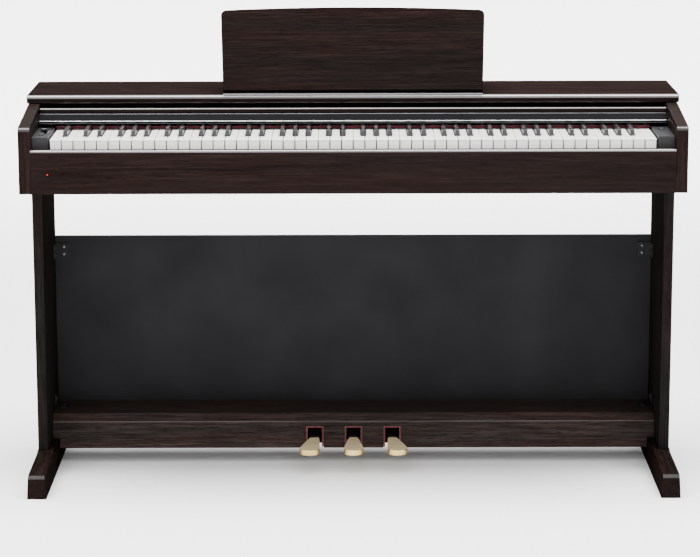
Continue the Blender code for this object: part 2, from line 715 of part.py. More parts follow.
def make_pedal(name, x, left_reach, right_reach):
    """A pedal: a level arm, and a head in front that widens to each side and dips towards its tip."""
    arm, tip, neck, back = 0.010, behind(PEDAL_TIP), behind(PEDAL_NECK), behind(PEDAL_HINGE + 0.006)
    radius, shoulder = 0.012, 0.020
    points = [(x - arm, back), (x - arm, neck), (x - left_reach, tip + shoulder)]
    points += arc((x - left_reach + radius, tip + radius), radius, 180, 270, 3)
    points += arc((x + right_reach - radius, tip + radius), radius, 270, 360, 3)
    points += [(x + right_reach, tip + shoulder), (x + arm, neck), (x + arm, back)]
    pedal = outline(name, points, "XY", PEDAL_LOW, PEDAL_HIGH, BRASS, at=(x, behind(PEDAL_HINGE), PEDAL_HINGE_Z))
    shape = bmesh.new()
    shape.from_mesh(pedal.data)
    fold = neck - behind(PEDAL_HINGE)
    bmesh.ops.bisect_plane(shape, geom=[*shape.verts, *shape.edges, *shape.faces], dist=0.00001,
                           plane_co=(0, fold, 0), plane_no=(0, 1, 0))
    for vertex in shape.verts:
        vertex.co.z -= PEDAL_DIP * max(fold - vertex.co.y, 0) / (neck - tip)
    shape.to_mesh(pedal.data)
    shape.free()


def make_pedals():
    near, far, even = 0.0115, 0.031, 0.0208
    left, middle, right = pedal_centres()
    make_pedal("pedal_soft", left, far, near)
    make_pedal("pedal_sostenuto", middle, even, even)
    make_pedal("pedal_damper", right, near, far)


make_cabinet()
make_electronics()
make_controls()
make_keyboard()
make_cover()
make_music_rest()
make_stand()
make_pedal_box()
make_pedals()
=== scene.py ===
"""The looks of the digital piano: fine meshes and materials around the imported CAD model, on a pale studio floor."""

import json
import math
import random

import bmesh
import bpy
from mathutils import Matrix, Vector


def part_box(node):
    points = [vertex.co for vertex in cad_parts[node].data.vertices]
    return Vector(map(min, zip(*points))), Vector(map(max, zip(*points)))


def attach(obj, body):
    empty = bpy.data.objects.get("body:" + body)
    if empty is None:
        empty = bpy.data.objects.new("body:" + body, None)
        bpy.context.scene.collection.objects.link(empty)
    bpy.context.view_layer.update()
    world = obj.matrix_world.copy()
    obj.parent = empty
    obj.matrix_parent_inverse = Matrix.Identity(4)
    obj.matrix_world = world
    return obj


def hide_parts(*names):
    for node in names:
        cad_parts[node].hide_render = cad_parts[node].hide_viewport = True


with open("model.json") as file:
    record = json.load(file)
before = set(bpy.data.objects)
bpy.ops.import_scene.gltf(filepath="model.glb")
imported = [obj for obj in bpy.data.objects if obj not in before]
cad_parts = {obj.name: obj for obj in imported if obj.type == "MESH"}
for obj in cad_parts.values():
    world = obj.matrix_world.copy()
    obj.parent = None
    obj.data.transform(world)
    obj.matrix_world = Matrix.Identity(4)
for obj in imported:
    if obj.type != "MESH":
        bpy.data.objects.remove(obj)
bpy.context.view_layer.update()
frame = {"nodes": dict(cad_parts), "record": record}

BODY_OF = {n: body for body, nodes in frame["record"]["behaviour"]["bodies"].items() for n in nodes}
SLOT_OF = {s["node"]: s["material_slot"] for s in frame["record"]["subparts"]}
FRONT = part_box("key_slip")[0].y
PHOTO_WIDTH = 700


# Camera and studio


def add_camera():
    """The photo's viewpoint: high and far in front, looking down at the keyboard."""
    place = Vector((-0.0108, FRONT - 5.311, 1.5537))
    tilt, yaw, roll, focal = 0.2021, 0.0007, 0.0021, 2667.8
    forward = Vector((math.sin(yaw) * math.cos(tilt), math.cos(yaw) * math.cos(tilt), -math.sin(tilt)))
    right = Vector((math.cos(yaw), -math.sin(yaw), 0))
    up = right.cross(forward)
    turn = Matrix((right, up, -forward)).transposed().to_4x4()
    data = bpy.data.cameras.new("camera")
    data.lens = focal * data.sensor_width / PHOTO_WIDTH
    data.clip_end = 100
    camera = bpy.data.objects.new("camera", data)
    camera.matrix_world = Matrix.Translation(place) @ turn @ Matrix.Rotation(-roll, 4, "Z")
    bpy.context.scene.collection.objects.link(camera)
    bpy.context.scene.camera = camera


def add_light(name, place, aim, size, power, spread=180):
    data = bpy.data.lights.new(name, "AREA")
    data.shape = "RECTANGLE"
    data.size, data.size_y = size
    data.energy = power
    light = bpy.data.objects.new(name, data)
    light.location = place
    data.spread = math.radians(spread)
    light.rotation_euler = (Vector(aim) - Vector(place)).to_track_quat("-Z", "Y").to_euler()
    bpy.context.scene.collection.objects.link(light)


def add_studio():
    bpy.ops.mesh.primitive_plane_add(size=60)
    floor = bpy.context.object
    floor.name = "floor"
    floor.data.materials.append(simple("floor_pale", (0.92, 0.92, 0.92), 0.9))
    add_sky()
    add_light("overhead", (0, -0.45, 3.4), (0, -0.25, 0.7), (4.2, 1.6), 420)
    add_light("front", (0, -6.5, 2.6), (0, 0, 0.4), (5.0, 2.4), 220)
    add_light("backdrop", (0, 7.5, 5.0), (0, 7.5, 0), (16, 9), 1800, 62)


def add_sky():
    """White light from above that fades out towards the horizon."""
    world = bpy.data.worlds.new("studio")
    world.use_nodes = True
    tree = world.node_tree
    background = tree.nodes["Background"]
    background.inputs["Strength"].default_value = 3.0
    direction = tree.nodes.new("ShaderNodeTexCoord").outputs["Generated"]
    split = tree.nodes.new("ShaderNodeSeparateXYZ")
    ramp = tree.nodes.new("ShaderNodeValToRGB")
    ramp.color_ramp.elements[0].position = 0.28
    ramp.color_ramp.elements[0].color = (0.03, 0.03, 0.03, 1)
    ramp.color_ramp.elements[1].position = 0.75
    ramp.color_ramp.elements[1].color = (1, 1, 1, 1)
    tree.links.new(direction, split.inputs[0])
    tree.links.new(split.outputs["Z"], ramp.inputs["Fac"])
    tree.links.new(ramp.outputs["Color"], background.inputs["Color"])
    bpy.context.scene.world = world


# Materials


class Nodes:
    """A short way to build a material's node tree."""

    def __init__(self, name):
        self.material = bpy.data.materials.new(name)
        self.material.use_nodes = True
        self.tree = self.material.node_tree
        self.shader = self.tree.nodes["Principled BSDF"]
        self.place = self.add("ShaderNodeTexCoord").outputs["Object"]

    def add(self, kind, **values):
        node = self.tree.nodes.new(kind)
        for key, value in values.items():
            if key in node.inputs:
                node.inputs[key].default_value = value
            else:
                setattr(node, key, value)
        return node

    def link(self, output, socket):
        self.tree.links.new(output, socket)

    def noise(self, scale, stretch=(1, 1, 1), detail=3.0, roughness=0.55, distortion=0.0):
        mapping = self.add("ShaderNodeMapping")
        mapping.inputs["Scale"].default_value = stretch
        self.link(self.place, mapping.inputs["Vector"])
        noise = self.add("ShaderNodeTexNoise", Scale=scale, Detail=detail, Roughness=roughness,
                         Distortion=distortion)
        self.link(mapping.outputs["Vector"], noise.inputs["Vector"])
        return noise.outputs["Fac"]

    def ramp(self, factor, stops):
        """Colours or grey values at places along 0 to 1."""
        node = self.add("ShaderNodeValToRGB")
        elements = node.color_ramp.elements
        while len(elements) < len(stops):
            elements.new(0.5)
        for element, (where, colour) in zip(elements, stops):
            element.position = where
            element.color = (*colour, 1) if hasattr(colour, "__len__") else (colour, colour, colour, 1)
        self.link(factor, node.inputs["Fac"])
        return node.outputs["Color"]

    def mix(self, factor, first, second, blend="MIX"):
        node = self.add("ShaderNodeMix", data_type="RGBA", blend_type=blend)
        for value, socket in ((factor, node.inputs[0]), (first, node.inputs[6]), (second, node.inputs[7])):
            if isinstance(value, bpy.types.NodeSocket):
                self.link(value, socket)
            else:
                socket.default_value = (*value, 1) if hasattr(value, "__len__") else value
        return node.outputs[2]

    def math(self, operation, first, second):
        node = self.add("ShaderNodeMath", operation=operation)
        for value, socket in ((first, node.inputs[0]), (second, node.inputs[1])):
            if isinstance(value, bpy.types.NodeSocket):
                self.link(value, socket)
            else:
                socket.default_value = value
        return node.outputs[0]

    def split(self, vector, axis):
        node = self.add("ShaderNodeSeparateXYZ")
        self.link(vector, node.inputs[0])
        return node.outputs[axis]

    def edges(self, low=0.52, high=0.62):
        """0 on flat stretches, rising to 1 along outer edges."""
        pointiness = self.add("ShaderNodeNewGeometry").outputs["Pointiness"]
        return self.ramp(pointiness, [(low, 0.0), (high, 1.0)])

    def colour(self, value):
        self.link(value, self.shader.inputs["Base Color"])

    def rough(self, value):
        self.link(value, self.shader.inputs["Roughness"])

    def bump(self, height, distance, strength=1.0):
        node = self.add("ShaderNodeBump", Distance=distance, Strength=strength)
        self.link(height, node.inputs["Height"])
        self.link(node.outputs["Normal"], self.shader.inputs["Normal"])


def simple(name, colour, roughness):
    """A stage material, with a little unevenness."""
    nodes = Nodes(name)
    nodes.colour(nodes.ramp(nodes.noise(0.6), [(0.3, tuple(c * 0.98 for c in colour)), (0.7, colour)]))
    nodes.shader.inputs["Roughness"].default_value = roughness
    return nodes.material


def along(axis, lengthwise, across):
    """Texture scales that stretch a pattern along one axis."""
    return tuple(lengthwise if i == "XYZ".index(axis) else across for i in range(3))


def rosewood(name, axis, base, polish=0.0, specular=0.015, slope_from=0.12):
    """Dark rosewood foil: broad figure, fine streaks and short dark pores along the grain, satin lacquer.

    Rounded and sloping edges take a polished coat, as far as polish says. It starts where the normal rises
    past slope_from, and leaves level faces matt.
    """
    nodes = Nodes(name)
    dark = tuple(c * 0.72 for c in base)
    light = tuple(c * 1.4 for c in base)
    red = (base[0] * 1.22, base[1] * 0.90, base[2] * 0.87)
    figure = nodes.noise(1.0, along(axis, 1.3, 26), detail=4, roughness=0.6, distortion=0.35)
    streaks = nodes.noise(1.0, along(axis, 9, 300), detail=3, roughness=0.6)
    pores = nodes.noise(1.0, along(axis, 40, 900), detail=2, roughness=0.5)
    broad = nodes.ramp(figure, [(0.30, dark), (0.48, base), (0.60, red), (0.74, light)])
    fine = nodes.ramp(streaks, [(0.30, 0.5), (0.50, 0.95), (0.68, 1.6)])
    pore_mask = nodes.ramp(pores, [(0.36, 0.35), (0.43, 1.0)])
    colour = nodes.mix(1.0, nodes.mix(1.0, broad, fine, "MULTIPLY"), pore_mask, "MULTIPLY")
    worn = tuple(c * 1.9 for c in base)
    colour = nodes.mix(nodes.math("MULTIPLY", nodes.edges(), 0.35), colour, worn)
    nodes.colour(colour)
    nodes.rough(nodes.ramp(streaks, [(0.3, 0.42), (0.7, 0.33)]))
    nodes.bump(nodes.math("MULTIPLY", pore_mask, nodes.ramp(streaks, [(0.3, 0.7), (0.7, 1.0)])), 0.00006, 0.5)
    nodes.shader.inputs["Specular IOR Level"].default_value = specular
    if polish:
        normal = nodes.add("ShaderNodeNewGeometry").outputs["Normal"]
        slope = nodes.math("ABSOLUTE", nodes.split(normal, "Z"), 0)
        coat = nodes.ramp(slope, [(slope_from, 0.0), (slope_from + 0.18, polish), (0.9, polish), (0.985, 0.0)])
        nodes.link(coat, nodes.shader.inputs["Coat Weight"])
        nodes.shader.inputs["Coat Roughness"].default_value = 0.18
        nodes.shader.inputs["Coat IOR"].default_value = 2.0
    return nodes.material


def board_paint(name, base, roughness, specular):
    """A matt painted or foiled board: faint mottling and a fine grained surface."""
    nodes = Nodes(name)
    mottle = nodes.noise(9.0, detail=4)
    fine = nodes.noise(900.0, detail=2)
    dark, light = tuple(c * 0.82 for c in base), tuple(c * 1.2 for c in base)
    nodes.colour(nodes.ramp(mottle, [(0.3, dark), (0.7, light)]))
    nodes.rough(nodes.ramp(fine, [(0.3, roughness - 0.06), (0.7, roughness + 0.08)]))
    nodes.bump(fine, 0.00005, 0.5)
    nodes.shader.inputs["Specular IOR Level"].default_value = specular
    return nodes.material


def moulded(name, base, roughness, grain=1400.0, depth=0.00004, specular=0.5, wear=0.3):
    """Moulded plastic: a fine spark texture, uneven gloss and slightly paler edges."""
    nodes = Nodes(name)
    fine = nodes.noise(grain, detail=2)
    broad = nodes.noise(14.0, detail=3)
    colour = nodes.ramp(broad, [(0.3, tuple(c * 0.9 for c in base)), (0.7, tuple(c * 1.1 for c in base))])
    pale = tuple(min(c * 1.8 + 0.01, 1) for c in base)
    nodes.colour(nodes.mix(nodes.math("MULTIPLY", nodes.edges(), wear), colour, pale))
    nodes.rough(nodes.ramp(fine, [(0.3, max(roughness - 0.05, 0.02)), (0.7, roughness + 0.07)]))
    nodes.bump(fine, depth, 0.5)
    nodes.shader.inputs["Specular IOR Level"].default_value = specular
    return nodes.material


def key_white():
    """Glossy ivory-white key plastic, very faintly mottled, its gloss a little uneven in random patches."""
    nodes = Nodes("key_white")
    broad = nodes.noise(22.0, detail=4)
    nodes.colour(nodes.ramp(broad, [(0.3, (0.80, 0.79, 0.755)), (0.7, (0.86, 0.855, 0.825))]))
    nodes.rough(nodes.ramp(nodes.noise(60.0, detail=3), [(0.3, 0.12), (0.7, 0.26)]))
    nodes.bump(nodes.noise(240.0, detail=2), 0.00002, 0.3)
    nodes.shader.inputs["Coat Weight"].default_value = 0.3
    nodes.shader.inputs["Coat Roughness"].default_value = 0.08
    return nodes.material


def felt(name, base):
    """Wool felt: matted fibres, with sheen."""
    nodes = Nodes(name)
    fibres = nodes.noise(1100.0, detail=4, roughness=0.7, distortion=0.8)
    clumps = nodes.noise(160.0, detail=3)
    tone = nodes.math("MULTIPLY", fibres, clumps)
    dark, light = tuple(c * 0.55 for c in base), tuple(min(c * 1.35, 1) for c in base)
    nodes.colour(nodes.ramp(tone, [(0.15, dark), (0.4, light)]))
    nodes.shader.inputs["Roughness"].default_value = 0.95
    nodes.shader.inputs["Sheen Weight"].default_value = 0.5
    nodes.shader.inputs["Sheen Roughness"].default_value = 0.5
    nodes.bump(fibres, 0.0006, 0.8)
    return nodes.material


def metal(name, base, roughness, scratch_axis="Y"):
    """Metal with fine lengthwise rubbing marks and patches of duller surface."""
    nodes = Nodes(name)
    marks = nodes.noise(1.0, along(scratch_axis, 30, 1600), detail=2)
    patches = nodes.noise(30.0, detail=4)
    dark, light = tuple(c * 0.86 for c in base), tuple(min(c * 1.06, 1) for c in base)
    nodes.colour(nodes.ramp(patches, [(0.3, dark), (0.7, light)]))
    nodes.rough(nodes.mix(0.5, nodes.ramp(marks, [(0.3, roughness * 0.7), (0.7, roughness * 1.3)]),
                          nodes.ramp(patches, [(0.3, roughness * 1.3), (0.7, roughness * 0.7)])))
    nodes.bump(marks, 0.00002, 0.3)
    nodes.shader.inputs["Metallic"].default_value = 1.0
    return nodes.material


def brass():
    """Brass pedals: a brushed satin tread on top, polished round the rim."""
    nodes = Nodes("brass")
    marks = nodes.noise(1.0, (1500, 40, 1500), detail=2)
    patches = nodes.noise(40.0, detail=4)
    up = nodes.split(nodes.add("ShaderNodeNewGeometry").outputs["Normal"], "Z")
    tread = nodes.ramp(up, [(0.86, 0.0), (0.96, 1.0)])
    polished = nodes.ramp(patches, [(0.3, (0.46, 0.31, 0.10)), (0.7, (0.72, 0.53, 0.22))])
    satin = nodes.ramp(patches, [(0.3, (0.46, 0.37, 0.21)), (0.7, (0.55, 0.45, 0.26))])
    nodes.colour(nodes.mix(tread, polished, satin))
    rim_roughness = nodes.ramp(marks, [(0.3, 0.12), (0.7, 0.22)])
    tread_roughness = nodes.ramp(marks, [(0.3, 0.50), (0.7, 0.62)])
    nodes.rough(nodes.mix(tread, rim_roughness, tread_roughness))
    nodes.link(nodes.ramp(tread, [(0.0, 1.0), (1.0, 0.25)]), nodes.shader.inputs["Metallic"])
    nodes.bump(marks, 0.00003, 0.4)
    return nodes.material


def glowing(name, base, strength):
    nodes = Nodes(name)
    nodes.colour(nodes.ramp(nodes.noise(500.0), [(0.3, tuple(c * 0.8 for c in base)), (0.7, base)]))
    nodes.shader.inputs["Roughness"].default_value = 0.2
    nodes.shader.inputs["Emission Color"].default_value = (*base, 1)
    nodes.shader.inputs["Emission Strength"].default_value = strength
    return nodes.material


WOOD_X = rosewood("rosewood_lengthwise", "X", (0.0122, 0.0097, 0.0091))
# A darker copy of the rosewood for the music rest: painted shade, so the rest shows darker than the other boards
# under the same light.
WOOD_REST_DARKENED = rosewood("rosewood_rest_painted_shade", "X", (0.0050, 0.0034, 0.0031), specular=0.004)
# A paler copy of the rosewood for the pedal box: painted light, making up for the shade under the keyboard.
WOOD_BOX_LIGHTENED = rosewood("rosewood_box_painted_light", "X", (0.0220, 0.0170, 0.0155))
WOOD_TRIM = rosewood("rosewood_polished_edges", "X", (0.0082, 0.0058, 0.0054), 1.0, 0.0)
WOOD_Y = rosewood("rosewood_foot", "Y", (0.0085, 0.0063, 0.0056), 0.35, 0.0, 0.3)
# The side boards' copy of the rosewood is greyer and flatter: painted light, for how the light falls on them.
WOOD_Z = rosewood("rosewood_upright_painted_light", "Z", (0.0088, 0.0077, 0.0073), specular=0.0)
WOOD_CHEEK = rosewood("rosewood_cheek", "Z", (0.0090, 0.0062, 0.0056), 0.3)
CHARCOAL = board_paint("charcoal_foil", (0.0140, 0.0140, 0.0152), 0.6, 0.05)
BACKING = board_paint("dark_hardboard", (0.020, 0.014, 0.012), 0.75, 0.1)
BLACK_PLASTIC = moulded("black_plastic", (0.006, 0.006, 0.0065), 0.38, specular=0.25)
GREY_PLASTIC = moulded("grey_plastic", (0.012, 0.012, 0.013), 0.42, specular=0.25)
FASCIA = moulded("fascia_plastic", (0.0045, 0.0045, 0.005), 0.5, grain=900.0, specular=0.01, wear=0.1)
# Painted highlight: a pale strip colour that stands in for the light caught along the pedal box's top edge.
PAINTED_HIGHLIGHT_LINE = board_paint("painted_edge_highlight", (0.075, 0.066, 0.062), 0.5, 0.1)
PALE_MARK = moulded("pale_mark", (0.35, 0.36, 0.38), 0.35)
KEY_WHITE = key_white()
KEY_BLACK = moulded("key_black", (0.007, 0.007, 0.0075), 0.27, grain=2200.0, depth=0.00002, specular=0.45)
FELT = felt("red_felt", (0.11, 0.006, 0.012))
BRASS = brass()
STEEL = moulded("black_painted_steel", (0.004, 0.004, 0.0045), 0.5, grain=900.0, specular=0.15)
SCREW_STEEL = metal("blackened_screw", (0.14, 0.14, 0.145), 0.36, "X")
# Silver for the socket rings, and also the painted highlight strip along the fascia's edge.
SILVER_AND_HIGHLIGHT = metal("silver_and_painted_highlight", (0.62, 0.62, 0.64), 0.25, "X")
PLATE_GREY = metal("grey_trim", (0.16, 0.16, 0.17), 0.35, "X")
CIRCUIT = moulded("circuit_green", (0.015, 0.10, 0.04), 0.35)
LAMP = glowing("lamp_red", (0.9, 0.03, 0.02), 0.4)
# Painted shade: the pedal arms are brass like the heads, coloured near black where they run back into the shaded
# slots.
ARM_PAINTED_SHADE = moulded("pedal_arm_painted_shade", (0.010, 0.009, 0.008), 0.42, grain=700.0, specular=0.3)


# Mesh helpers


def linked(mesh, name, look):
    mesh.materials.clear()
    mesh.materials.append(look)
    piece = bpy.data.objects.new(name, mesh)
    bpy.context.scene.collection.objects.link(piece)
    return piece


def rounded(piece, width, segments=3, angle=30):
    """Rounds the edges sharper than the angle, then applies the modifier."""
    if width:
        bevel = piece.modifiers.new("rounding", "BEVEL")
        bevel.width = width
        bevel.segments = segments
        bevel.limit_method = "ANGLE"
        bevel.angle_limit = math.radians(angle)
        applied(piece)
    return shaded(piece)


def applied(piece):
    """Turns the piece's modifiers into plain mesh."""
    graph = bpy.context.evaluated_depsgraph_get()
    mesh = bpy.data.meshes.new_from_object(piece.evaluated_get(graph))
    piece.modifiers.clear()
    piece.data = mesh


def shaded(piece, angle=50):
    """Smooth shading in which large flats stay flat and edges sharper than the angle stay sharp."""
    piece.data.shade_smooth()
    piece.data.set_sharp_from_angle(angle=math.radians(angle))
    piece.modifiers.new("weighting", "WEIGHTED_NORMAL").keep_sharp = True
    applied(piece)
    return piece


def finished(piece, body, slot, *nodes):
    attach(piece, body)
    if nodes:
        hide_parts(*nodes)
    return piece


def refined(node, look, width=0.001, segments=3, angle=30):
    """A fine copy of a CAD node: flat faces made whole, edges rounded and smooth-shaded."""
    mesh = frame["nodes"][node].data.copy()
    shape = bmesh.new()
    shape.from_mesh(mesh)
    bmesh.ops.remove_doubles(shape, verts=shape.verts, dist=0.00002)
    bmesh.ops.dissolve_limit(shape, angle_limit=math.radians(0.6), verts=shape.verts, edges=shape.edges)
    shape.to_mesh(mesh)
    shape.free()
    piece = linked(mesh, node + "_fine", look)
    rounded(piece, width, segments, angle)
    return finished(piece, BODY_OF[node], SLOT_OF[node], node)


def prism(points, low, high, name, look, plane="XY"):
    """A flat outline given thickness from low to high. The plane's first axis is the points' first number."""
    shape = bmesh.new()
    places = {"XY": lambda a, b, c: (a, b, c), "YZ": lambda a, b, c: (c, a, b), "XZ": lambda a, b, c: (a, c, b)}
    place = places[plane]
    face = shape.faces.new([shape.verts.new(place(a, b, low)) for a, b in points])
    moved = bmesh.ops.extrude_face_region(shape, geom=[face])["geom"]
    shift = Vector(place(0, 0, high - low))
    bmesh.ops.translate(shape, vec=shift, verts=[v for v in moved if isinstance(v, bmesh.types.BMVert)])
    bmesh.ops.recalc_face_normals(shape, faces=shape.faces)
    mesh = bpy.data.meshes.new(name)
    shape.to_mesh(mesh)
    shape.free()
    return linked(mesh, name, look)


def slab(low, high, name, look, width=0.0005, segments=2):
    """A box between two corners with rounded edges."""
    corners = [(low[0], low[1]), (high[0], low[1]), (high[0], high[1]), (low[0], high[1])]
    return rounded(prism(corners, low[2], high[2], name, look), width, segments)


def merged(pieces, name):
    """Several pieces as one object, which keeps the first one's material."""
    shape = bmesh.new()
    for piece in pieces:
        shape.from_mesh(piece.data)
    look = pieces[0].data.materials[0]
    mesh = bpy.data.meshes.new(name)
    shape.to_mesh(mesh)
    shape.free()
    for piece in pieces:
        bpy.data.objects.remove(piece)
    return shaded(linked(mesh, name, look))


def lathe(profile, name, look, place, axis=(0, 0, 1), steps=32):
    """A turned piece: (radius, height) points spun about an axis through a place."""
    shape = bmesh.new()
    verts = [shape.verts.new((r, 0, z)) for r, z in profile]
    edges = [shape.edges.new(pair) for pair in zip(verts, verts[1:])]
    bmesh.ops.spin(shape, geom=verts + edges, cent=(0, 0, 0), axis=(0, 0, 1), angle=math.tau, steps=steps)
    bmesh.ops.remove_doubles(shape, verts=shape.verts, dist=0.000005)
    bmesh.ops.recalc_face_normals(shape, faces=shape.faces)
    turn = Vector((0, 0, 1)).rotation_difference(Vector(axis)).to_matrix().to_4x4()
    bmesh.ops.transform(shape, matrix=Matrix.Translation(place) @ turn, verts=shape.verts)
    mesh = bpy.data.meshes.new(name)
    shape.to_mesh(mesh)
    shape.free()
    piece = linked(mesh, name, look)
    mesh.shade_smooth()
    mesh.set_sharp_from_angle(angle=math.radians(40))
    return piece


# Wood and boards


def add_boards():
    refined("pedal_box", WOOD_BOX_LIGHTENED, 0.0012)
    add_pedal_box_highlight_line()
    refined("music_rest", WOOD_REST_DARKENED, 0.0018)
    refined("key_cover", WOOD_X, 0.0006)
    refined("key_slip", WOOD_TRIM, 0)
    refined("cover_rail", WOOD_TRIM, 0.0005)
    add_top_board()
    for side in ("left", "right"):
        refined("cheek_" + side, WOOD_CHEEK, 0.0016)
        refined("side_board_" + side, WOOD_Z, 0.0010)
        refined("foot_" + side, WOOD_Y, 0.0022, 4, 15)
    refined("back_panel", CHARCOAL, 0.0008)
    refined("rear_board", BACKING, 0.0006)
    refined("keybed", BACKING, 0.0004)


def add_pedal_box_highlight_line():
    """A painted highlight along the pedal box: a thin pale strip just under its top edge, where the rounded nosing
    catches the light.
    """
    low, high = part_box("pedal_box")
    line = slab((low.x + 0.001, low.y - 0.0003, high.z - 0.0165),
                (high.x - 0.001, low.y + 0.001, high.z - 0.0152), "pedal_box_highlight_line", PAINTED_HIGHLIGHT_LINE, 0.0002)
    finished(line, "cabinet", "rosewood")


def add_top_board():
    """The top, with a nosing along its front that is rounder above than below."""
    low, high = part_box("top_board")
    above, below = 0.0085, 0.0028
    side = [(high.y - 0.001, low.z), (high.y, low.z + 0.001), (high.y, high.z - 0.002), (high.y - 0.002, high.z)]
    for i in range(11):
        turn = math.radians(9 * i)
        side.append((low.y + above - above * math.sin(turn), high.z - above + above * math.cos(turn)))
    for i in range(7):
        turn = math.radians(15 * i)
        side.append((low.y + below - below * math.cos(turn), low.z + below - below * math.sin(turn)))
    board = rounded(prism(side, low.x, high.x, "top_board_fine", WOOD_TRIM, "YZ"), 0.0016, 3, 60)
    finished(board, "cabinet", "rosewood", "top_board")


# Keyboard

WHITES = 52
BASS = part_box("white_keys_bass")
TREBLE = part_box("white_keys_treble")
KEY_GAP = 0.0010
PITCH = (TREBLE[1].x - BASS[0].x + KEY_GAP) / WHITES
CAP_BACK = 0.168
LEVER_BACK = 0.366
BLACK_LOW, BLACK_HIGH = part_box("key_c_sharp4")
BLACK_WIDTH = BLACK_HIGH.x - BLACK_LOW.x
BLACK_AFTER = {0: 0.003, 2: -0.0023, 3: 0.0023, 5: -0.003, 6: 0.0}
FIRST_MIDDLE, FIRST_TREBLE = 23, 30


def seam(index):
    return BASS[0].x - KEY_GAP / 2 + index * PITCH


def black_after(index):
    offset = BLACK_AFTER.get(index % 7)
    if offset is None or not 0 <= index < WHITES - 1:
        return None
    return seam(index + 1) + offset


def key_body(index, black):
    """The CAD body, which is also a node, that a key belongs to."""
    kind = "black" if black else "white"
    if index < FIRST_MIDDLE:
        return kind + "_keys_bass"
    if index >= FIRST_TREBLE:
        return kind + "_keys_treble"
    return "key_" + "cdefgab"[index - FIRST_MIDDLE] + ("_sharp4" if black else "4")


def white_key(index):
    """One white key: a glossy top plate with a small lip over a plainer front, cut away beside the black keys."""
    low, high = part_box("key_d4")
    left, right = seam(index) + KEY_GAP / 2, seam(index + 1) - KEY_GAP / 2
    reach = BLACK_WIDTH / 2 + 0.0012
    notch = BLACK_LOW.y - 0.0012
    before, after = black_after(index - 1), black_after(index)
    tail_left = left if before is None else before + reach
    tail_right = right if after is None else after - reach

    def plan(inset, front):
        points = [(tail_left + inset, high.y)]
        if before is not None:
            points += [(tail_left + inset, notch - inset), (left + inset, notch - inset)]
        points += [(left + inset, front), (right - inset, front)]
        if after is not None:
            points += [(right - inset, notch - inset), (tail_right - inset, notch - inset)]
        return points + [(tail_right - inset, high.y)]

    lip = 0.0028
    top = rounded(prism(plan(0, low.y), high.z - lip, high.z, "top", KEY_WHITE), 0.0009, 3)
    body = prism(plan(0.0006, low.y + 0.0006), low.z, high.z - lip + 0.0002, "front", KEY_WHITE)
    rounded(body, 0.0005, 2)
    key = merged([top, body], f"white_key_{index + 1:02d}")
    return finished(key, key_body(index, False), "white_key")


def black_key(index, centre, number):
    """One black key: a tapered cap with a sloping front and softly rounded edges, on its narrow lever."""
    base, top = BLACK_WIDTH / 2, BLACK_WIDTH / 2 - 0.0009
    low_z, high_z = BLACK_LOW.z + 0.004, BLACK_HIGH.z
    back = FRONT + CAP_BACK
    shape = bmesh.new()
    bmesh.ops.create_cube(shape, size=1)
    for vertex in shape.verts:
        upper, rear = vertex.co.z > 0, vertex.co.y > 0
        half = top if upper else base
        front_y = BLACK_LOW.y + (0.0090 if upper else 0.0002)
        x = centre + math.copysign(half, vertex.co.x)
        vertex.co = (x, back if rear else front_y, high_z if upper else low_z)
    mesh = bpy.data.meshes.new("cap")
    shape.to_mesh(mesh)
    shape.free()
    cap = rounded(linked(mesh, "cap", KEY_BLACK), 0.0010, 4)
    lever = slab((centre - base + 0.0008, back - 0.01, BLACK_LOW.z),
                 (centre + base - 0.0008, FRONT + LEVER_BACK, high_z - 0.014), "lever", KEY_BLACK, 0.0004, 1)
    key = merged([cap, lever], f"black_key_{number:02d}")
    return finished(key, key_body(index, True), "black_key")


def add_keyboard():
    """88 separate keys. Each body's CAD node is hidden when its first key is made."""
    replaced = set()
    number = 0
    for index in range(WHITES):
        keys = [(white_key(index), key_body(index, False))]
        centre = black_after(index)
        if centre is not None:
            number += 1
            keys.append((black_key(index, centre, number), key_body(index, True)))
        for key, body in keys:
            if body not in replaced:
                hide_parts(body)
                replaced.add(body)


# Around the keys


def add_inner_panel():
    """The fascia behind the keys: a dark sloping panel over a silver line, a black groove and a thin lip with a grey
    line; the silver and grey lines are painted highlights on the fascia's edge and on the lip.
    """
    refined("inner_panel", FASCIA, 0.0004)
    low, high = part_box("inner_panel")
    left, right = low.x + 0.001, high.x - 0.001
    # The lip's grey strip and the silver strip are painted highlights, standing in for light caught on the lip and on
    # the fascia's edge.
    strips = (("lip_highlight_line", low.y, low.z + 0.0009, 0.0012, GREY_PLASTIC),
              ("fascia_highlight_line", low.y + 0.001, low.z + 0.0052, 0.0016, SILVER_AND_HIGHLIGHT),
              ("panel_top_line", low.y + 0.0242, low.z + 0.0168, 0.0014, PLATE_GREY))
    for name, y, z, tall, look in strips:
        piece = slab((left, y - 0.0005, z - tall / 2), (right, y + 0.001, z + tall / 2), name, look, 0.0004)
        finished(piece, "cabinet", "grey_plastic")
    refined("key_felt", FELT, 0.0006)


def add_end_blocks():
    for side in ("left", "right"):
        refined("end_block_" + side, GREY_PLASTIC, 0.0007)
    for node in ("power_button", "function_button_1", "function_button_2"):
        refined(node, BLACK_PLASTIC, 0.0009)
    add_slider()


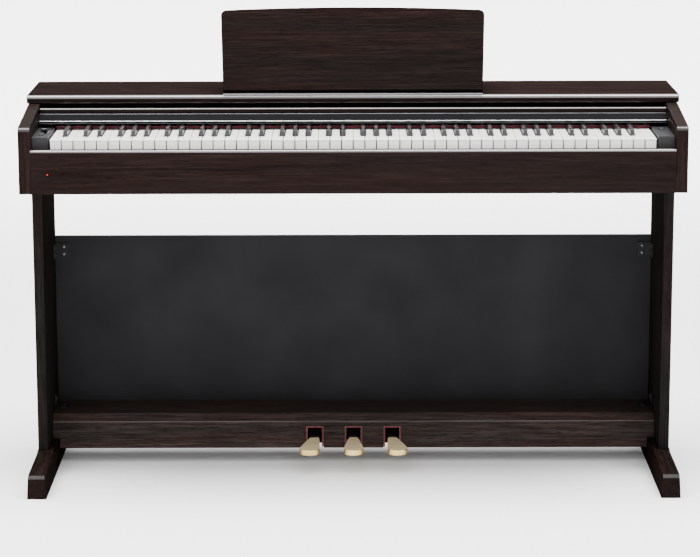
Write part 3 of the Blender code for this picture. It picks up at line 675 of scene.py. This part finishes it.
def add_slider():
    """The volume slider's knob on a slim stem, with a pale mark across it and seven ticks beside its slot."""
    low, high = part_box("volume_slider")
    middle = (low + high) / 2
    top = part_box("end_block_left")[1].z
    knob = slab((low.x, low.y, top + 0.0007), high, "knob", BLACK_PLASTIC, 0.0010, 3)
    stem = slab((middle.x - 0.0008, middle.y - 0.0022, low.z + 0.0005),
                (middle.x + 0.0008, middle.y + 0.0022, top + 0.0020), "stem", BLACK_PLASTIC, 0.0003)
    slider = merged([knob, stem], "volume_slider_fine")
    finished(slider, "volume_slider", SLOT_OF["volume_slider"], "volume_slider")
    centre = (low.y + high.y) / 2
    mark = slab((low.x + 0.002, centre - 0.0004, high.z - 0.0002),
                (high.x - 0.002, centre + 0.0004, high.z + 0.00025), "slider_mark", PALE_MARK, 0.0001)
    finished(mark, "volume_slider", "black_plastic")
    x = high.x + 0.0025
    for i in range(7):
        y = centre + (i - 3) * 0.005
        tick = slab((x, y - 0.0003, top - 0.0002), (x + 0.003, y + 0.0003, top + 0.0002),
                    f"slider_tick_{i}", PALE_MARK, 0)
        finished(tick, "cabinet", "grey_plastic")


def add_lamp():
    low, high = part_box("power_lamp")
    centre = ((low.x + high.x) / 2, low.y, (low.z + high.z) / 2)
    dome = [(0, 0.0), (0.0007, -0.0001), (0.0013, -0.0004), (0.0016, -0.0009), (0.0016, -0.015), (0, -0.015)]
    finished(lathe(dome, "power_lamp_lens", LAMP, centre, (0, -1, 0)), "cabinet", "red_lamp", "power_lamp")
    bezel = [(0.0017, -0.003), (0.0017, -0.0004), (0.0020, -0.0001), (0.0026, -0.0003), (0.0028, -0.0012)]
    finished(lathe(bezel, "power_lamp_bezel", BLACK_PLASTIC, centre, (0, -1, 0)), "cabinet", "black_plastic")


# Music rest


def add_music_rest_parts():
    refined("rest_ledge", WOOD_REST_DARKENED, 0.0005)
    low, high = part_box("rest_ledge")
    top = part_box("top_board")[1].z
    leaf = slab((low.x, low.y - 0.0022, top - 0.0004), (high.x, low.y - 0.0008, top + 0.0030),
                "hinge_leaf", PLATE_GREY, 0.0004)
    finished(leaf, "cabinet", "dark_steel")
    refined("rest_hinge_rail", STEEL, 0.0003)
    for side in ("left", "right"):
        refined("stay_" + side, STEEL, 0.0008)


# Pedals

ARM = 0.0098  # half of an arm's width
NECK = 0.262  # from the front of the key slip back to where the head meets its arm


def smoothed(points, rounds=2):
    """Corner-cut outline, so that straight runs join in curves."""
    for _ in range(rounds):
        cut = []
        for (ax, ay), (bx, by) in zip(points, points[1:] + points[:1]):
            cut.append((0.75 * ax + 0.25 * bx, 0.75 * ay + 0.25 * by))
            cut.append((0.25 * ax + 0.75 * bx, 0.25 * ay + 0.75 * by))
        points = cut
    return points


def add_pedal(node, left_reach, right_reach):
    """A cast brass head with a flat tread and a full round rim, on an arm coloured dark as painted shade where it
    runs back into the pedal box.
    """
    low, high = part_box(node)
    centre = low.x + max(left_reach, ARM)
    tip, back = low.y, high.y
    neck = FRONT + NECK
    left, right = centre - left_reach, centre + right_reach
    outline = [(left + 0.015, tip), ((left + right) / 2, tip - 0.0008), (right - 0.015, tip),
               (right - 0.0055, tip + 0.0030), (right, tip + 0.012), (right - 0.0004, tip + 0.022),
               (centre + ARM + 0.001, neck - 0.003), (centre + ARM - 0.003, neck + 0.002),
               (centre - ARM + 0.003, neck + 0.002), (centre - ARM - 0.001, neck - 0.003),
               (left + 0.0004, tip + 0.022), (left, tip + 0.012), (left + 0.0055, tip + 0.0030)]
    thick = 0.011
    piece = prism(smoothed(outline, 3), high.z - thick, high.z, node + "_head", BRASS)
    shape = bmesh.new()
    shape.from_mesh(piece.data)
    for step in range(1, 12):
        bmesh.ops.bisect_plane(shape, geom=[*shape.verts, *shape.edges, *shape.faces], dist=0.00001,
                               plane_co=(0, tip + (neck - tip) * step / 12, 0), plane_no=(0, 1, 0))
    shape.to_mesh(piece.data)
    shape.free()
    rounded(piece, 0.0042, 6, 40)
    for vertex in piece.data.vertices:
        ahead = max(0.0, (neck - vertex.co.y) / (neck - tip))
        vertex.co.z -= (high.z - low.z - thick) * ahead
    shaded(piece)
    finished(piece, node, "brass", node)
    # Painted shade: the brass arm is given a near-black colour inside the slot.
    arm = slab((centre - ARM + 0.0006, neck - 0.006, high.z - thick + 0.0008),
               (centre + ARM - 0.0006, back, high.z - 0.0016), node + "_arm", ARM_PAINTED_SHADE, 0.0015, 3)
    finished(arm, node, "brass")


def add_pedals():
    near, far, even = 0.0115, 0.031, 0.0208
    add_pedal("pedal_soft", far, near)
    add_pedal("pedal_sostenuto", even, even)
    add_pedal("pedal_damper", near, far)
    refined("pedal_felt", FELT, 0.0005)
    refined("pedal_adjuster", BLACK_PLASTIC, 0.0010)


# Fittings

SOCKET_HEIGHT = 0.632
GRILLE_RING = 0.0078  # step between the rings of holes


def screw(name, place, axis, radius=0.0038, body="cabinet", look=None):
    """A round-headed cross-slot screw."""
    head = [(0, 0.0018), (radius * 0.25, 0.0018), (radius * 0.27, 0.0009), (radius * 0.34, 0.0017),
            (radius * 0.7, 0.0013), (radius, 0.0003), (radius, -0.0008), (0, -0.0008)]
    piece = lathe(head, name, look or SCREW_STEEL, place, axis, 20)
    finished(piece, body, "dark_steel")


def add_brackets():
    for side, sign in (("left", -1), ("right", 1)):
        for level in ("upper", "lower"):
            node = f"bracket_{level}_{side}"
            refined(node, STEEL, 0.0006)
            low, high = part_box(node)
            middle = (low + high) / 2
            outer = high.x if sign > 0 else low.x
            for i, shift in enumerate((-0.008, 0.008)):
                inward, side_x = outer - sign * 0.019, outer - sign * 0.0026
                if level == "upper":
                    screw(f"{node}_screw_{i}", (inward, high.y - 0.0026, middle.z + shift), (0, -1, 0))
                    screw(f"{node}_side_screw_{i}", (side_x, middle.y - 0.004, middle.z + shift), (-sign, 0, 0))
                else:
                    screw(f"{node}_screw_{i}", (inward, middle.y + shift, low.z + 0.0026), (0, 0, 1))
                    screw(f"{node}_side_screw_{i}", (side_x, middle.y + shift, middle.z + 0.004), (-sign, 0, 0))


def add_rear_screws():
    low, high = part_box("rear_board")
    for i in range(7):
        x = low.x + 0.03 + i * (high.x - low.x - 0.06) / 6
        for name, z in (("top", high.z - 0.012), ("base", low.z + 0.010)):
            screw(f"rear_screw_{name}_{i}", (x, high.y - 0.0008, z), (0, 1, 0), 0.0034)


def add_speakers():
    """Turned speakers, and round grilles with rings of small hole rims."""
    for side in ("left", "right"):
        refined("speaker_" + side, BLACK_PLASTIC, 0)
        low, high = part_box("speaker_grille_" + side)
        centre = (low + high) / 2
        radius, thick = (high.x - low.x) / 2, high.z - low.z
        profile = [(0, thick), (radius, thick), (radius, 0.0012), (radius - 0.001, 0.0002), (radius - 0.004, 0),
                   (radius - 0.007, 0.0006), (0, 0.0006)]
        disc = lathe(profile, "grille_disc_" + side, BLACK_PLASTIC, (centre.x, centre.y, low.z), steps=48)
        finished(disc, "cabinet", "black_plastic", "speaker_grille_" + side)
        studs = []
        for ring in range(1, 8):
            for k in range(6 * ring):
                turn = math.tau * k / (6 * ring)
                x = centre.x + ring * GRILLE_RING * math.cos(turn)
                y = centre.y + ring * GRILLE_RING * math.sin(turn)
                rim = [(0.0012, 0.0007), (0.0016, 0.00005), (0.0024, 0.00005), (0.0028, 0.0007)]
                studs.append(lathe(rim, "rim", BLACK_PLASTIC, (x, y, low.z), steps=8))
        finished(merged(studs, "grille_holes_" + side), "cabinet", "black_plastic")


def add_inner_pieces():
    refined("key_chassis", BLACK_PLASTIC, 0.0005)
    refined("headphone_box", BLACK_PLASTIC, 0)
    low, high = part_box("headphone_box")
    for i, x in enumerate(((low.x + high.x) / 2 - 0.015, (low.x + high.x) / 2 + 0.015)):
        ring = [(0.0035, -0.004), (0.0035, 0.0006), (0.0040, 0.0010), (0.0056, 0.0008), (0.0060, 0),
                (0.0056, -0.0004)]
        turned = lathe(ring, f"socket_ring_{i}", SILVER_AND_HIGHLIGHT, (x, low.y, SOCKET_HEIGHT), (0, -1, 0))
        finished(turned, "cabinet", "black_plastic")
    refined("main_circuit_board", CIRCUIT, 0)
    low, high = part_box("main_circuit_board")
    chance = random.Random(7)
    chips = []
    for i in range(14):
        x, z = low.x + 0.02 + 0.026 * i, chance.uniform(low.z + 0.015, high.z - 0.02)
        wide, tall = chance.uniform(0.006, 0.010), chance.uniform(0.005, 0.012)
        chip = slab((x, low.y - 0.0016, z), (x + wide, low.y + 0.0002, z + tall), "chip", BLACK_PLASTIC, 0.0002)
        chips.append(chip)
    finished(merged(chips, "board_chips"), "cabinet", "black_plastic")


add_camera()
add_studio()
add_boards()
add_keyboard()
add_inner_panel()
add_end_blocks()
add_lamp()
add_music_rest_parts()
add_pedals()
add_brackets()
add_rear_screws()
add_speakers()
add_inner_pieces()

bpy.context.view_layer.update()
